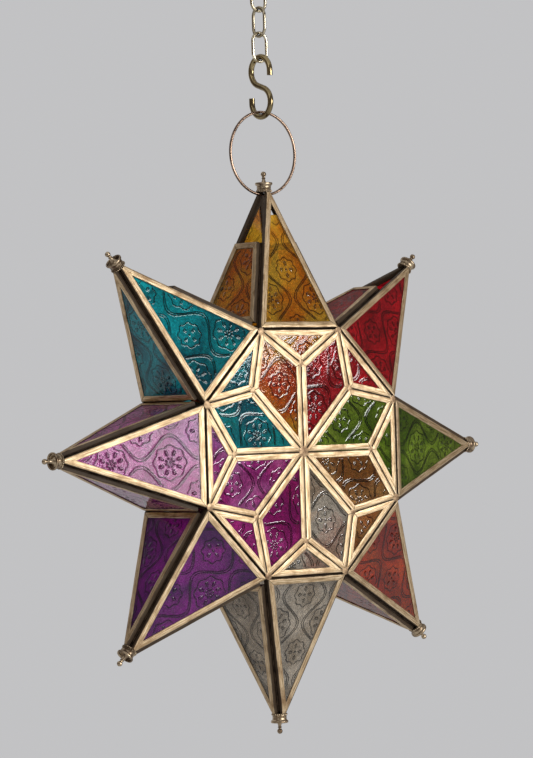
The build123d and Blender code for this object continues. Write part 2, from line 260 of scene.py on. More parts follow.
def brass_came_material():
    """Sheet brass with the streaks of its rolling along each strip and tarnished in patches. It is darkened
    along the edges of the lip, in the folds and at the mitres: painted shade, with some grime."""
    material, tree, shader = new_material("brass_came")
    strip = add_node(tree, "ShaderNodeUVMap", uv_map="strip").outputs["UV"]
    stretched = add_node(tree, "ShaderNodeMapping", {"Scale": (60, 1500, 1), "Vector": strip})
    rolling = {"Scale": 1.0, "Detail": 5, "Roughness": 0.66, "Vector": stretched.outputs["Vector"]}
    streaks = add_node(tree, "ShaderNodeTexNoise", rolling).outputs["Fac"]
    place = add_node(tree, "ShaderNodeTexCoord").outputs["Object"]
    cloudy = {"Scale": 75, "Detail": 6, "Roughness": 0.68, "Vector": place}
    patches = add_node(tree, "ShaderNodeTexNoise", cloudy).outputs["Fac"]
    brass = ramped(
        tree, streaks, (0.34, (0.26, 0.16, 0.075)), (0.5, (0.66, 0.48, 0.28)), (0.66, (0.98, 0.82, 0.58))
    )
    tarnish = ramped(tree, patches, (0.50, (0, 0, 0)), (0.70, (0.8, 0.8, 0.8)))
    tarnished = mixed(tree, tarnish, brass, (0.27, 0.16, 0.08, 1))

    # Painted shade, with some grime: darker, less metallic and duller along the edges of the lip and at the
    # mitres
    across = add_node(tree, "ShaderNodeSeparateXYZ", {"Vector": strip}).outputs["Y"]
    from_middle = calculated(tree, "ABSOLUTE", calculated(tree, "SUBTRACT", across, lip_middle), 0)
    wobble = calculated(tree, "MULTIPLY", patches, shade_and_grime_wobble)
    edge_place = calculated(tree, "ADD", from_middle, wobble)
    edge = ranged(tree, edge_place, lip_half + edge_shade_and_grime[0], lip_half + edge_shade_and_grime[1])
    from_mitre = add_node(tree, "ShaderNodeAttribute", attribute_name="from_mitre").outputs["Fac"]
    mitre = ranged(tree, calculated(tree, "ADD", from_mitre, wobble), *mitre_shade_and_grime)
    shade_and_grime = calculated(tree, "MAXIMUM", edge, mitre)
    shaded_and_soiled = mixed(tree, calculated(tree, "MULTIPLY", shade_and_grime, 0.95), tarnished, (0.030, 0.017, 0.010, 1))
    dulling = calculated(tree, "MULTIPLY", shade_and_grime, 0.35)
    surface = {
        "Base Color": shaded_and_soiled,
        "Metallic": calculated(tree, "SUBTRACT", 1, shade_and_grime),
        "Specular IOR Level": calculated(tree, "SUBTRACT", 0.5, dulling),
        "Roughness": ranged(tree, patches, low=0.30, high=0.62),
        "Normal": bumped(tree, streaks, 0.4, 0.08 * mm),
    }
    set_up(tree, shader, surface)
    return material


def came_mesh():
    """An empty mesh with what the strips of the cames keep: their own UV and the distance of each
    point from the nearer mitre."""
    mesh = bmesh.new()
    mesh.loops.layers.uv.new("strip")
    mesh.verts.layers.float.new("from_mitre")
    return mesh


def add_came(mesh, pane):
    """The strips of one pane's frame, each with its mitres and a slight wander."""
    strip_uv, from_mitre = mesh.loops.layers.uv["strip"], mesh.verts.layers.float["from_mitre"]
    loops = [round_pairs(pane.inset(inwards)) for inwards, height in came_section]
    for number, (start, end) in enumerate(round_pairs(pane.outline)):
        length, along = (end - start).length, (end - start).normalized()
        steps = max(2, round(length / wander_step))
        rings = []
        for step in range(steps + 1):
            share = step / steps
            ring = []
            for (inwards, height), loop in zip(came_section, loops):
                first, last = loop[number]
                flat = (first + along * mitre_gap).lerp(last - along * mitre_gap, share)
                point = pane.place @ Vector((flat.x, flat.y, height))
                drift = noise.noise_vector(point * wander_scale) * hand_wander
                ring.append(mesh.verts.new(point + drift))
                ring[-1][from_mitre] = min(share, 1 - share) * length
            rings.append(ring)
        offset = number * streak_offset + pane.place.translation.x
        for step, (here, there) in enumerate(zip(rings, rings[1:])):
            near, far = length * step / steps, length * (step + 1) / steps
            for side, run in enumerate(section_runs):
                other = (side + 1) % len(came_section)
                width = (Vector(came_section[other]) - Vector(came_section[side])).length
                face = mesh.faces.new((here[side], here[other], there[other], there[side]))
                places = ((near, run), (near, run + width), (far, run + width), (far, run))
                for corner, (lengthwise, crosswise) in zip(face.loops, places):
                    corner[strip_uv].uv = (lengthwise + offset, crosswise)
        mesh.faces.new(reversed(rings[0]))
        mesh.faces.new(rings[-1])


def in_scene(name, data):
    """The mesh data as an object of the scene."""
    made = bpy.data.objects.new(name, data)
    scene.collection.objects.link(made)
    return made


def linked(mesh, name):
    """The finished bmesh as an object of the scene."""
    data = bpy.data.meshes.new(name)
    mesh.to_mesh(data)
    mesh.free()
    return in_scene(name, data)


def smoothed(piece, sharp_angle):
    """The piece with smooth faces between its sharp edges."""
    piece.data.shade_smooth()
    piece.data.set_sharp_from_angle(angle=math.radians(sharp_angle))
    return piece


def finished(mesh, name, material, sharp_angle=35):
    """The bmesh as an object with its material, with its faces turned outwards and smoothed."""
    bmesh.ops.recalc_face_normals(mesh, faces=mesh.faces)
    piece = smoothed(linked(mesh, name), sharp_angle)
    piece.data.materials.append(material)
    return piece


def cut_off(mesh, point, outwards, tolerance=0):
    """Cuts off what lies outwards of a plane through the point."""
    everything = mesh.verts[:] + mesh.edges[:] + mesh.faces[:]
    bmesh.ops.bisect_plane(
        mesh, geom=everything, plane_co=point, plane_no=outwards, clear_outer=True, dist=tolerance
    )


def open_edges(mesh):
    """The edges with a face on one side only."""
    return [edge for edge in mesh.edges if edge.is_boundary]


def shortened(corners, share):
    """A triangle's base and the ends of its two long edges, cut off at a share of its length."""
    first, second, tip = corners
    return [first, second, second.lerp(tip, share), first.lerp(tip, share)]


def point_corners(angle):
    """Corners of the front, back and two side panes of a point."""
    tip = star_corner(point_reach, angle, 0)
    after, before = angle + half_turn, angle - half_turn
    front_after, front_before = (star_corner(corner_radius, a, half_depth) for a in (after, before))
    back_after, back_before = (star_corner(corner_radius, a, -half_depth) for a in (after, before))
    return {
        "front": [front_after, front_before, tip],
        "back": [back_before, back_after, tip],
        "after": [back_after, front_after, tip],
        "before": [front_before, back_before, tip],
    }


def point_pane(side, corners):
    """A pane of a point. A side pane stands back from the valley to the next point."""
    base_setback = valley_setback if side in ("after", "before") else joint_gap
    return Pane(corners, [base_setback] + [joint_gap] * (len(corners) - 1))


section_runs = strip_runs()
lip_middle = (section_runs[lip_fold] + section_runs[lip_edge]) / 2
lip_half = (section_runs[lip_edge] - section_runs[lip_fold]) / 2
came_metal = brass_came_material()
side_slope = math.atan(half_side / point_length)
cap_collar_radius = 5.7 * mm
cap_seat = point_reach - (cap_collar_radius - came_depth / math.cos(side_slope)) / math.tan(side_slope)

for number, name in enumerate(point_colours):
    angle = number * turn
    mesh = came_mesh()
    for side, corners in point_corners(angle).items():
        if (name, side) in vents:
            corners = shortened(corners, vent_pane_share)
        add_came(mesh, point_pane(side, corners))
    seat = star_corner(cap_seat, angle, 0)
    cut_off(mesh, seat, seat - star_centre)
    bmesh.ops.holes_fill(mesh, edges=open_edges(mesh))
    cames = finished(mesh, f"{name}_point_frames", came_metal)
    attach(cames, "lantern")
    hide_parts(f"{name}_point_cames")


def kite_corners(angle, forward):
    """A kite of a rosette, from the centre to the corner of the octagon at the angle."""
    return [
        star_corner(0, 0, forward),
        star_corner(rosette_radius, angle - half_turn, forward),
        star_corner(corner_radius, angle, forward),
        star_corner(rosette_radius, angle + half_turn, forward),
    ]


def triangle_corners(angle, forward):
    """A triangle of a rosette, between two kites, with its base on a side of the octagon."""
    return [
        star_corner(corner_radius, angle - half_turn, forward),
        star_corner(corner_radius, angle + half_turn, forward),
        star_corner(rosette_radius, angle, forward),
    ]


def behind(corners):
    """Corners of a pane of the back, turned round because it is seen from outside."""
    return [corners[0]] + corners[:0:-1]


rosettes = {}
door_number = list(point_colours).index("bottom")
door_gap = 1.4 * mm
door_tip_cut = 13.0 * mm
for face, forward in (("front", half_depth), ("back", -half_depth)):
    facing = behind if face == "back" else list
    rosettes[face] = {"kite": [], "triangle": []}
    for number in range(len(point_colours)):
        kite = facing(kite_corners(number * turn + half_turn, forward))
        triangle = facing(triangle_corners(number * turn, forward))
        rosettes[face]["kite"].append(Pane(kite, [joint_gap] * 4))
        rosettes[face]["triangle"].append(Pane(triangle, [joint_gap] * 3))
    for shape in ("kite", "triangle"):
        mesh = came_mesh()
        for number, pane in enumerate(rosettes[face][shape]):
            if (face, shape, number) != ("back", "kite", door_number):
                add_came(mesh, pane)
        cames = finished(mesh, f"{face}_{shape}_frames", came_metal)
        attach(cames, "lantern")
        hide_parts(f"{face}_{shape}_cames")

# ---------------------------------------------------------------- frame of the door
# One kite of the back opens on a pin hinge. Its tip is cut off, so that it clears the next kite,
# and a wider gap is left along its free edges.
middle, free_corner, outer_corner, hinge_corner = behind(
    kite_corners(door_number * turn + half_turn, -half_depth)
)
tip_corners = [middle + (c - middle).normalized() * door_tip_cut for c in (hinge_corner, free_corner)]
door_corners = tip_corners + [free_corner, outer_corner, hinge_corner]
door_pane = Pane(door_corners, [door_gap] * 4 + [joint_gap])
mesh = came_mesh()
add_came(mesh, door_pane)
door_frame = finished(mesh, "door_frame", came_metal)
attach(door_frame, "door")
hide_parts("door_came")

# ---------------------------------------------------------------- pressed glass
# The panes are cut from rolled sheet with a pressed relief: an ogee lattice of double lines round
# flowers of eight drops and crosses of four petals, with a fine grain all over.
glass_thickness = 2.4 * mm
glass_clearance = 0.3 * mm
glass_foot = (came_depth - glass_thickness) / 2
glass_step = 0.5 * mm  # mesh of the pressed face
blank_margin = 1.001  # share of its size to which a blank is cut, so that no sliver is left
cut_tolerance = 1e-7
relief_repeat = 42 * mm
relief_depth = 0.25 * mm
relief_line = 0.6 * mm  # half the width of a raised line
line_top = 0.5  # height of a line, as a share of a petal's
relief_start = 3.9 * mm  # edge of the glass to where the relief begins, clear of the lip
relief_full = 5.2 * mm
glass_tip_gap = 3.0 * mm
top_glass_tip_gap = 16.5 * mm

flower_middle = Vector((0, 0, 0))
cross_middle = Vector((relief_repeat / 2, relief_repeat / 2, 0))
flower_petals, cross_petals = 8, 4
# Where petals start and end, from the middle of the flower or the cross, and how wide they are
outer_drop = (5.3 * mm, 8.4 * mm, 1.7 * mm)
inner_drop = (1.9 * mm, 3.4 * mm, 0.5 * mm)
cross_petal = (3.0 * mm, 5.6 * mm, 1.8 * mm)
petal_steps = 16
petal_foot, petal_growth = 0.55, 0.45  # share of the width at the inner end, and the rest
middle_dot = 1.0 * mm
ogee_neck = 2.4 * mm  # half the distance between the lattice's lines where they come nearest
ogee_apart = 0.85 * mm  # from the middle of a double line to each of the two
ogee_steps = 32
flower_ring, cross_ring = 11.4 * mm, 8.4 * mm
scallop_count, scallop_depth, scallop_steps = 8, 0.7 * mm, 64
lattice_cells = 8  # from the first repeat of the drawing to the last, along and across the sheet


def petal(mesh, centre, angle, start, end, width):
    """A raised petal along the angle: a drop that is wider at its outer end."""
    along = Vector((math.cos(angle), math.sin(angle), 0))
    across = Vector((-along.y, along.x, 0))
    corners = []
    for step in range(petal_steps):
        round_it = step / petal_steps * math.tau
        reach = start + (end - start) * (0.5 - 0.5 * math.cos(round_it))
        grown = petal_foot + petal_growth * (reach - start) / (end - start)
        bulge = width / 2 * math.sin(round_it) * grown
        corners.append(mesh.verts.new(centre + along * reach + across * bulge))
    mesh.faces.new(corners)


def joined(mesh, points, closed=False):
    """The points as corners of the mesh, joined by edges in a run or, if closed, in a ring."""
    corners = [mesh.verts.new(point) for point in points]
    pairs = round_pairs(corners)
    for pair in pairs if closed else pairs[:-1]:
        mesh.edges.new(pair)
    return corners


def draw_petals(mesh):
    """The solid bumps of one repeat: a flower at its centre and a cross at its corner."""
    for number in range(flower_petals):
        angle = (number + 0.5) * math.tau / flower_petals
        petal(mesh, flower_middle, angle, *outer_drop)
        petal(mesh, flower_middle, angle, *inner_drop)
    for number in range(cross_petals):
        petal(mesh, cross_middle, number * math.tau / cross_petals, *cross_petal)
    for centre in (flower_middle, cross_middle):
        petal(mesh, centre - Vector((middle_dot / 2, 0, 0)), 0, 0, middle_dot, middle_dot)


def draw_lines(mesh):
    """The raised lines of one repeat: the double ogee and a scalloped ring in each of its cells."""
    for side in (-1, 1):
        for shift in (-ogee_apart, ogee_apart):
            points = []
            for step in range(ogee_steps + 1):
                height = (step / ogee_steps - 0.5) * relief_repeat
                swing = math.cos(math.tau * height / relief_repeat)
                reach = relief_repeat / 4 + (relief_repeat / 4 - ogee_neck) * swing + shift
                points.append(Vector((side * reach, height, 0)))
            joined(mesh, points)
    for centre, radius in ((flower_middle, flower_ring), (cross_middle, cross_ring)):
        points = []
        for step in range(scallop_steps):
            angle = step / scallop_steps * math.tau
            reach = radius + scallop_depth * math.cos(scallop_count * angle)
            points.append(centre + Vector((math.cos(angle), math.sin(angle), 0)) * reach)
        joined(mesh, points, closed=True)


def relief_object(name, draw):
    """The drawing as an object of the scene."""
    mesh = bmesh.new()
    draw(mesh)
    return linked(mesh, name)


def node_group(name, inputs, output):
    """A tree of Geometry Nodes with its named inputs, and the sockets where they come in and where
    its output goes out."""
    tree = bpy.data.node_groups.new(name, "GeometryNodeTree")
    for label, (kind, value) in inputs.items():
        socket = tree.interface.new_socket(label, in_out="INPUT", socket_type=f"NodeSocket{kind}")
        if value is not None:
            socket.default_value = value
    tree.interface.new_socket(output, in_out="OUTPUT", socket_type="NodeSocketGeometry")
    given, result = tree.nodes.new("NodeGroupInput"), tree.nodes.new("NodeGroupOutput")
    return tree, given.outputs, result.inputs


def kept_value(tree, name, kind="FLOAT"):
    """What the points of the mesh keep under the name."""
    kept = add_node(tree, "GeometryNodeInputNamedAttribute", {"Name": name}, data_type=kind)
    return kept.outputs["Attribute"]


def coated(tree, geometry, material):
    """The geometry made real, in its material."""
    whole = add_node(tree, "GeometryNodeRealizeInstances", {"Geometry": geometry})
    coat = {"Geometry": whole.outputs["Geometry"], "Material": material}
    return add_node(tree, "GeometryNodeSetMaterial", coat).outputs["Geometry"]


def relief_tree(petals, lines):
    """Presses the relief into a sheet: repeats the drawing over it and raises what lies under it."""
    inputs = {
        "Sheet": ("Geometry", None),
        "Repeat": ("Float", relief_repeat),
        "Depth": ("Float", relief_depth),
        "Line": ("Float", relief_line),
        "Glass": ("Material", None),
    }
    tree, given, result = node_group("pressed_relief", inputs, "Pressed")
    spread = calculated(tree, "MULTIPLY", given["Repeat"], lattice_cells)
    corners = lattice_cells + 1
    size = {"Vertices X": corners, "Vertices Y": corners, "Size X": spread, "Size Y": spread}
    lattice = add_node(tree, "GeometryNodeMeshGrid", size).outputs["Mesh"]
    position = add_node(tree, "GeometryNodeInputPosition").outputs["Position"]
    split = add_node(tree, "ShaderNodeSeparateXYZ", {"Vector": position}).outputs
    on_sheet = add_node(tree, "ShaderNodeCombineXYZ", {"X": split["X"], "Y": split["Y"]}).outputs["Vector"]

    def raised_by(drawing, target, top):
        """How high the drawing raises each point, as a share of the depth."""
        source = add_node(tree, "GeometryNodeObjectInfo", {"Object": drawing}).outputs["Geometry"]
        repeat = add_node(tree, "GeometryNodeInstanceOnPoints", {"Points": lattice, "Instance": source})
        whole = add_node(tree, "GeometryNodeRealizeInstances", {"Geometry": repeat.outputs["Instances"]})
        search = {"Geometry": whole.outputs["Geometry"], "Source Position": on_sheet}
        near = add_node(tree, "GeometryNodeProximity", search, target_element=target)
        away = near.outputs["Distance"]
        return ranged(tree, away, end=given["Line"], low=top, high=0, kind="SMOOTHSTEP")

    by_petals, by_lines = raised_by(petals, "FACES", 1), raised_by(lines, "EDGES", line_top)
    highest = calculated(tree, "MAXIMUM", by_petals, by_lines)
    share = calculated(tree, "MULTIPLY", highest, kept_value(tree, "pressed"))
    record = {"Name": "relief", "Geometry": given["Sheet"], "Value": share}
    kept = add_node(tree, "GeometryNodeStoreNamedAttribute", record, data_type="FLOAT", domain="POINT")
    height = calculated(tree, "MULTIPLY", share, given["Depth"])
    rise = add_node(tree, "ShaderNodeCombineXYZ", {"Z": height}).outputs["Vector"]
    move = {"Geometry": kept.outputs["Geometry"], "Offset": rise}
    press = add_node(tree, "GeometryNodeSetPosition", move).outputs["Geometry"]
    tree.links.new(coated(tree, press, given["Glass"]), result["Pressed"])
    return tree


def baked(source, name, tree, **values):
    """What the tree makes of the source, as a plain mesh object. The named inputs of the tree are
    set by their identifiers."""
    modifier = source.modifiers.new(tree.name, "NODES")
    modifier.node_group = tree
    for item in tree.interface.items_tree:
        if item.in_out == "INPUT" and item.name in values:
            modifier[item.identifier] = values[item.name]
    bpy.context.view_layer.update()
    data = bpy.data.meshes.new_from_object(
        source.evaluated_get(bpy.context.evaluated_depsgraph_get())
    )
    data.name = name
    bpy.data.objects.remove(source)
    return in_scene(name, data)


def glass_material(name, deep, light):
    """Pressed glass: its tint runs from deep to light, it has painted shade on the relief where its slopes
    bend the light away, and it has the speckle of a fine rolled grain."""
    material, tree, shader = new_material(f"{name}_glass")
    place = add_node(tree, "ShaderNodeTexCoord").outputs["Object"]
    cloudy = {"Scale": 30, "Detail": 3, "Distortion": 0.8, "Vector": place}
    clouds = add_node(tree, "ShaderNodeTexNoise", cloudy).outputs["Fac"]
    tint = ramped(tree, clouds, (0.40, deep), (0.62, light))
    # Painted shade: the glass is darker on the slopes and lines of the relief, and a little less dark on
    # the tops of the petals
    height = add_node(tree, "ShaderNodeAttribute", attribute_name="relief").outputs["Fac"]
    white, dark, half_dark = (1,) * 3, (0.13,) * 3, (0.55,) * 3
    painted_relief_shade = ramped(tree, height, (0.06, white), (0.24, dark), (0.8, dark), (1.0, half_dark))
    grain = add_node(tree, "ShaderNodeTexVoronoi", {"Scale": 520, "Vector": place}).outputs["Distance"]
    speckle = ramped(tree, grain, (0.15, white), (0.75, (0.62,) * 3))
    shaded = mixed(tree, 1.0, tint, painted_relief_shade, "MULTIPLY")
    surface = {
        "Base Color": mixed(tree, 1.0, shaded, speckle, "MULTIPLY"),
        "Transmission Weight": 0.76,
        "IOR": 1.45,
        "Roughness": 0.07,
        "Normal": bumped(tree, grain, 0.22, 0.08 * mm),
    }
    set_up(tree, shader, surface)
    return material


def glass_blank(pane, anchor):
    """A pane cut from flat sheet: a fine mesh on its pressed face and a plain back, with how far
    each point is inside the relief. The anchor is where on the sheet the pane was cut."""
    outline = pane.inset(came_sheet + glass_clearance)
    xs, ys = [c.x for c in outline], [c.y for c in outline]
    wide, high = max(xs) - min(xs), max(ys) - min(ys)
    columns, rows = math.ceil(wide / glass_step), math.ceil(high / glass_step)
    mesh = bmesh.new()
    bmesh.ops.create_grid(mesh, x_segments=columns, y_segments=rows, size=0.5)
    middle = Vector(((max(xs) + min(xs)) / 2, (max(ys) + min(ys)) / 2, 0))
    fitted = Matrix.Translation(middle) @ Matrix.Diagonal((wide * blank_margin, high * blank_margin, 1, 1))
    bmesh.ops.transform(mesh, matrix=fitted, verts=mesh.verts)
    edges = round_pairs(outline)
    for here, there in edges:
        along = there - here
        cut_off(mesh, here.to_3d(), (along.y, -along.x, 0), tolerance=cut_tolerance)
    pressed = mesh.verts.layers.float.new("pressed")
    for vert in mesh.verts:
        flat = vert.co.to_2d()
        rim = min((there - here).normalized().cross(flat - here) for here, there in edges)
        share = min(1, max(0, (rim - relief_start) / (relief_full - relief_start)))
        vert[pressed] = share * share * (3 - 2 * share)
    grown = bmesh.ops.extrude_edge_only(mesh, edges=open_edges(mesh))["geom"]
    sunk = [v for v in grown if isinstance(v, bmesh.types.BMVert)]
    for vert in sunk:
        vert[pressed] = 0
    bmesh.ops.translate(mesh, verts=sunk, vec=(0, 0, -glass_thickness))
    bmesh.ops.holes_fill(mesh, edges=open_edges(mesh))
    bmesh.ops.recalc_face_normals(mesh, faces=mesh.faces)
    bmesh.ops.translate(mesh, verts=mesh.verts, vec=-anchor)
    return linked(mesh, "blank")


petals = relief_object("petals", draw_petals)
lines = relief_object("lines", draw_lines)
relief = relief_tree(petals, lines)


def pressed_glass(name, panes, material):
    """The panes of one colour as one piece, each pressed with the relief and laid in its frame."""
    whole = bmesh.new()
    for pane, anchor in panes:
        sheet = baked(glass_blank(pane, anchor), "sheet", relief, Glass=material)
        seated = pane.place @ Matrix.Translation(anchor + Vector((0, 0, glass_foot + glass_thickness)))
        sheet.data.transform(seated)
        whole.from_mesh(sheet.data)
        bpy.data.objects.remove(sheet)
    return finished(whole, name, material, sharp_angle=40)


# Tints of the glass, where it is deep and where it is light
glass_tints = {
    "green": ((0.13, 0.23, 0.008), (0.40, 0.56, 0.05)),
    "red": ((0.44, 0.002, 0.010), (0.86, 0.014, 0.03)),
    "amber": ((0.74, 0.24, 0.006), (1.0, 0.58, 0.05)),
    "teal": ((0.0, 0.22, 0.29), (0.01, 0.66, 0.72)),
    "magenta": ((0.66, 0.05, 0.40), (1.0, 0.30, 0.78)),
    "violet": ((0.15, 0.006, 0.22), (0.50, 0.025, 0.50)),
    "clear": ((0.52, 0.43, 0.32), (0.92, 0.82, 0.68)),
    "orange": ((0.44, 0.03, 0.005), (0.84, 0.12, 0.015)),
}
glasses = {name: glass_material(name, *tint) for name, tint in glass_tints.items()}
# Three colours are cut from another sheet in the rosettes
rosette_tints = {
    "amber": ((0.80, 0.10, 0.005), (1.0, 0.46, 0.03)),
    "violet": ((0.50, 0.015, 0.26), (0.86, 0.07, 0.50)),
    "orange": ((0.42, 0.15, 0.035), (0.82, 0.42, 0.14)),
}
for name, tint in rosette_tints.items():
    glasses[f"rosette_{name}"] = glass_material(f"rosette_{name}", *tint)


def sheet_place(number, side):
    """Where on the sheet a pane was cut, different for each pane."""
    shift = Vector((math.sin(number * 2.4 + side), math.cos(number * 1.7 - side * 2), 0))
    return shift * relief_repeat / 2


for number, (name, colour) in enumerate(point_colours.items()):
    panes = []
    for place, (side, corners) in enumerate(point_corners(number * turn).items()):
        tip_gap = top_glass_tip_gap if (name, side) == ("top", "front") else glass_tip_gap
        share = (cap_seat - tip_gap - apothem) / point_length
        if (name, side) in vents:
            share = vent_pane_share
        pane = point_pane(side, shortened(corners, share))
        panes.append((pane, pane.middle() + sheet_place(number, place)))
    glass = pressed_glass(f"{name}_point_panes", panes, glasses[colour])
    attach(glass, "lantern")
    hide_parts(f"{name}_point_glass")

for face in ("front", "back"):
    for number, colour in enumerate(point_colours.values()):
        panes = []
        for place, shape in enumerate(("kite", "triangle")):
            pane = rosettes[face][shape][number]
            if (face, shape, number) != ("back", "kite", door_number):
                panes.append((pane, pane.middle() + sheet_place(number + len(point_colours) + 1, place)))
        sheet_glass = glasses.get(f"rosette_{colour}", glasses[colour])
        glass = pressed_glass(f"{face}_{colour}_panes", panes, sheet_glass)
        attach(glass, "lantern")
        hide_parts(f"{face}_{colour}_glass")

door_glass = pressed_glass("door_pane", [(door_pane, door_pane.middle())], glasses["clear"])
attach(door_glass, "door")
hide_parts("door_glass")
for drawing in (petals, lines):
    bpy.data.objects.remove(drawing)

# ---------------------------------------------------------------- solder
# The frames are soldered where their corners meet, with a broad lump in the middle of each rosette
# and smaller ones at its joints and on the corners of the octagon, and along the grooves between.
lump_detail = 4
lump_unevenness = 0.25 * mm
came_face = half_depth + came_depth
lump_sunk = 0.5 * mm  # how far the middle of a lump lies under the face of the cames
corner_setback = 1.5 * mm
# Half the width and the height of the lumps
middle_lump = (4.4 * mm, 0.45 * mm)
rosette_lump = (2.7 * mm, 0.4 * mm)
corner_lump = (3.0 * mm, 0.4 * mm)


def metal_material(name, dark, bright, smooth, rough, cloud_scale):
    """Tarnished metal: bright where it is rubbed and dark in patches, with painted shade in its hollows and
    where parts meet.
    """
    material, tree, shader = new_material(name)
    place = add_node(tree, "ShaderNodeTexCoord").outputs["Object"]
    cloudy = {"Scale": cloud_scale, "Detail": 6, "Roughness": 0.7, "Vector": place}
    clouds = add_node(tree, "ShaderNodeTexNoise", cloudy).outputs["Fac"]
    colour = ramped(tree, clouds, (0.38, bright), (0.64, dark))
    # Painted shade: the colour is darkened where other surfaces close in, in hollows and where parts meet
    hollow = {"Distance": 2.5 * mm, "Color": colour}
    open_share = add_node(tree, "ShaderNodeAmbientOcclusion", hollow, samples=8).outputs["AO"]
    shade = ranged(tree, open_share, 0.35, 0.85, low=0.18)
    surface = {
        "Base Color": mixed(tree, 1.0, colour, shade, "MULTIPLY"),
        "Metallic": 1.0,
        "Roughness": ranged(tree, clouds, low=smooth, high=rough),
        "Normal": bumped(tree, clouds, 0.25, 0.1 * mm),
    }
    set_up(tree, shader, surface)
    return material


def solder_tree():
    """Puts a low lump on each joint, as wide, as high and facing as the joint says."""
    inputs = {
        "Joints": ("Geometry", None),
        "Uneven": ("Float", lump_unevenness),
        "Solder": ("Material", None),
    }
    tree, given, result = node_group("solder_lumps", inputs, "Lumps")
    ball = add_node(tree, "GeometryNodeMeshIcoSphere", {"Radius": 1, "Subdivisions": lump_detail})
    towards = {"Vector": kept_value(tree, "outwards", "FLOAT_VECTOR")}
    facing = add_node(tree, "FunctionNodeAlignRotationToVector", towards, axis="Z")
    places = {
        "Points": given["Joints"],
        "Instance": ball.outputs["Mesh"],
        "Rotation": facing.outputs["Rotation"],
        "Scale": kept_value(tree, "spread", "FLOAT_VECTOR"),
    }
    lumps = add_node(tree, "GeometryNodeInstanceOnPoints", places).outputs["Instances"]
    whole = add_node(tree, "GeometryNodeRealizeInstances", {"Geometry": lumps}).outputs["Geometry"]
    ripples = add_node(tree, "ShaderNodeTexNoise", {"Scale": 330, "Detail": 2}).outputs["Color"]
    both = {0: ripples, 1: (0.5, 0.5, 0.5)}
    centred = add_node(tree, "ShaderNodeVectorMath", both, operation="SUBTRACT").outputs["Vector"]
    scaling = {0: centred, "Scale": given["Uneven"]}
    scaled = add_node(tree, "ShaderNodeVectorMath", scaling, operation="SCALE").outputs["Vector"]
    uneven = add_node(tree, "GeometryNodeSetPosition", {"Geometry": whole, "Offset": scaled})
    coat = {"Geometry": uneven.outputs["Geometry"], "Material": given["Solder"]}
    coated_lumps = add_node(tree, "GeometryNodeSetMaterial", coat).outputs["Geometry"]
    tree.links.new(coated_lumps, result["Lumps"])
    return tree


solder_metal = metal_material(
    "solder", dark=(0.12, 0.07, 0.04), bright=(0.50, 0.35, 0.21), smooth=0.3, rough=0.6, cloud_scale=240
)
mesh = bmesh.new()
outwards = mesh.verts.layers.float_vector.new("outwards")
spread = mesh.verts.layers.float_vector.new("spread")


def add_joint(point, away, half_width, height):
    """A joint, with where its lump faces, how wide it spreads and how high it stands."""
    joint = mesh.verts.new(point)
    joint[outwards] = away
    joint[spread] = (half_width, half_width, height)


for side in (1, -1):
    lump_depth = (came_face - lump_sunk) * side
    away = Vector((0, -side, 0))
    add_joint(star_corner(0, 0, lump_depth), away, *middle_lump)
    for number in range(len(point_colours)):
        add_joint(star_corner(rosette_radius, number * turn, lump_depth), away, *rosette_lump)
        if (side, number) != (-1, door_number):
            corner = star_corner(corner_radius - corner_setback, number * turn + half_turn, lump_depth)
            add_joint(corner, away, *corner_lump)
solder = baked(linked(mesh, "joints"), "solder_lumps", solder_tree(), Solder=solder_metal)
solder.data.shade_smooth()
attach(solder, "lantern")


def wire_tree():
    """Bends round wire along its paths, as thick at each point as the path says."""
    inputs = {
        "Path": ("Geometry", None),
        "Wire": ("Float", 1 * mm),
        "Sides": ("Int", 20),
        "Metal": ("Material", None),
    }
    tree, given, result = node_group("bent_wire", inputs, "Bent")
    route = add_node(tree, "GeometryNodeMeshToCurve", {"Mesh": given["Path"]}).outputs["Curve"]
    swelling = {"Curve": route, "Radius": kept_value(tree, "thick")}
    swell = add_node(tree, "GeometryNodeSetCurveRadius", swelling).outputs["Curve"]
    size = {"Resolution": given["Sides"], "Radius": given["Wire"]}
    section = add_node(tree, "GeometryNodeCurvePrimitiveCircle", size).outputs["Curve"]
    sweep = {"Curve": swell, "Profile Curve": section, "Fill Caps": True}
    wire = add_node(tree, "GeometryNodeCurveToMesh", sweep).outputs["Mesh"]
    tree.links.new(coated(tree, wire, given["Metal"]), result["Bent"])
    return tree


bending = wire_tree()


def bent_wire(name, runs, wire, metal, sides=20):
    """Wire along each run, which is its points, its share of the radius at each, and whether it is
    closed."""
    mesh = bmesh.new()
    thick = mesh.verts.layers.float.new("thick")
    for points, thickness, closed in runs:
        for corner, share in zip(joined(mesh, points, closed), thickness):
            corner[thick] = share
    made = baked(linked(mesh, "path"), name, bending, Wire=wire, Metal=metal, Sides=sides)
    return smoothed(made, sharp_angle=50)


# Seams of solder close the grooves between the frames: along the ridges of the points, round the octagon
# and down the valleys between the points. Their near-black colour is painted shade for the depth of the
# grooves.
seam_radius = 0.75 * mm
seam_step = 4 * mm
seam_rise = 0.5 * mm
seam_swelling, swelling_scale = 0.25, 200
octagon_share, valley_share = 0.8, 2.2  # of the radius, where the groove is narrower or wider


def seam(start, end, away, width=1.0):
    """A run of solder that swells and narrows, set off from the line where two panes meet."""
    steps = max(2, round((end - start).length / seam_step))
    points = [start.lerp(end, step / steps) + away * seam_rise for step in range(steps + 1)]
    shares = [width * (1 + seam_swelling * noise.noise(point * swelling_scale)) for point in points]
    return points, shares, False


